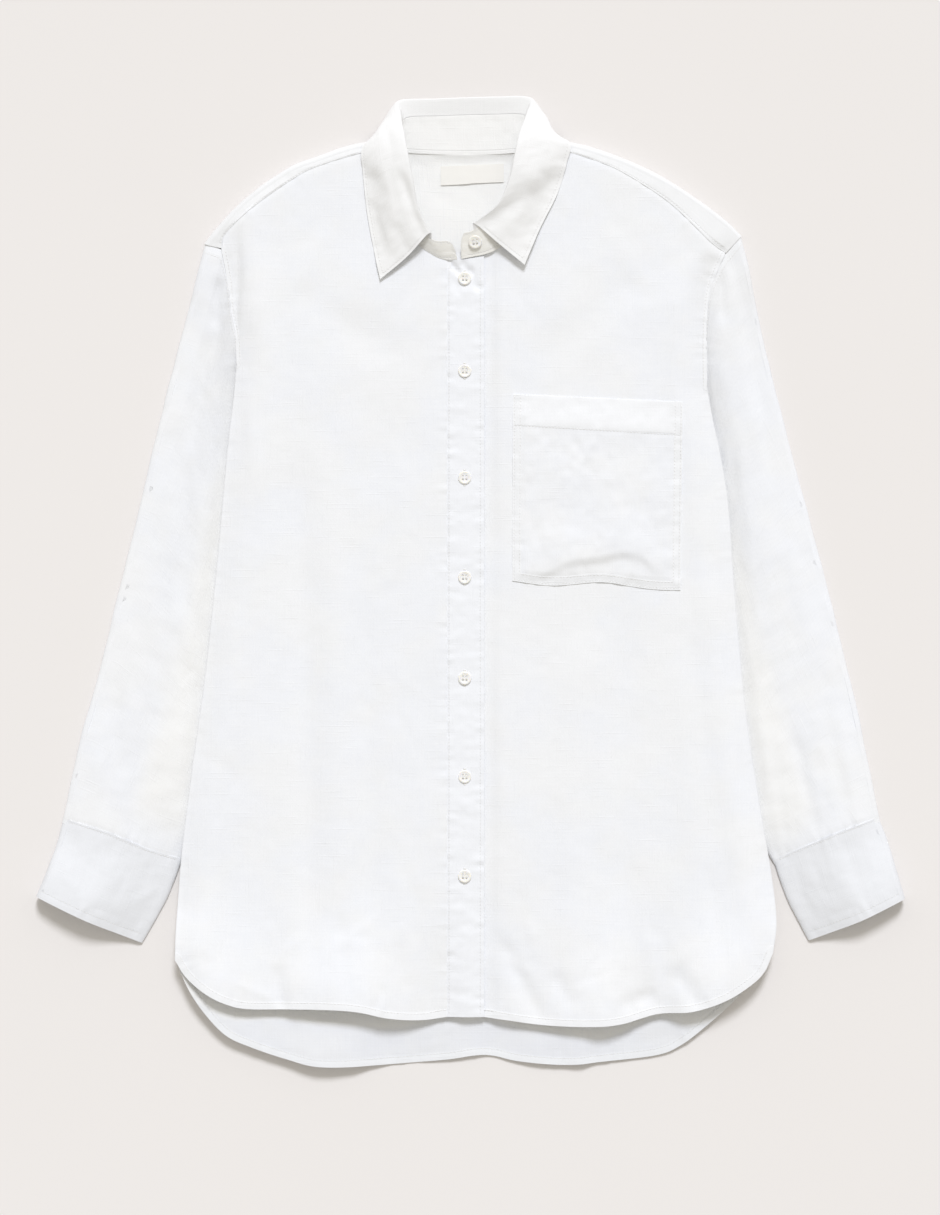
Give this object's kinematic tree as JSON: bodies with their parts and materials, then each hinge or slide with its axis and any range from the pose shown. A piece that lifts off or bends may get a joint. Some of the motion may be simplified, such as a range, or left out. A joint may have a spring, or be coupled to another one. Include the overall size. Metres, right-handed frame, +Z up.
{
  "type": "linen shirt",
  "caption": "Long-sleeved linen shirt laid flat, with pointed collar, buttoned placket, chest pocket, shirt-tail hems and closed cuffs.",
  "frame": {"origin": "on the surface that the shirt lies on, under the middle of its outline", "axes": "+X to the wearer's left side, +Y from the hem to the collar, +Z up from the surface"},
  "size_m": [0.742, 0.8296, 0.0306],
  "materials": {
    "linen": "matt woven linen, white",
    "linen_inside": "matt woven linen, inside face",
    "button_shell": "pearly, polished"
  },
  "bodies": {
    "root": {"back": "linen_inside", "yoke": "linen_inside", "front_right": "linen", "front_left": "linen", "placket": "linen", "button_band": "linen", "pocket": "linen", "sleeve_right": "linen", "sleeve_left": "linen", "cuff_right": "linen", "cuff_left": "linen", "collar_stand": "linen", "collar_leaf": "linen", "neck_label": "linen", "button_1": "button_shell", "button_2": "button_shell", "button_3": "button_shell", "button_4": "button_shell", "button_5": "button_shell", "button_6": "button_shell", "button_7": "button_shell", "button_stand": "button_shell"}
  },
  "joints": []
}
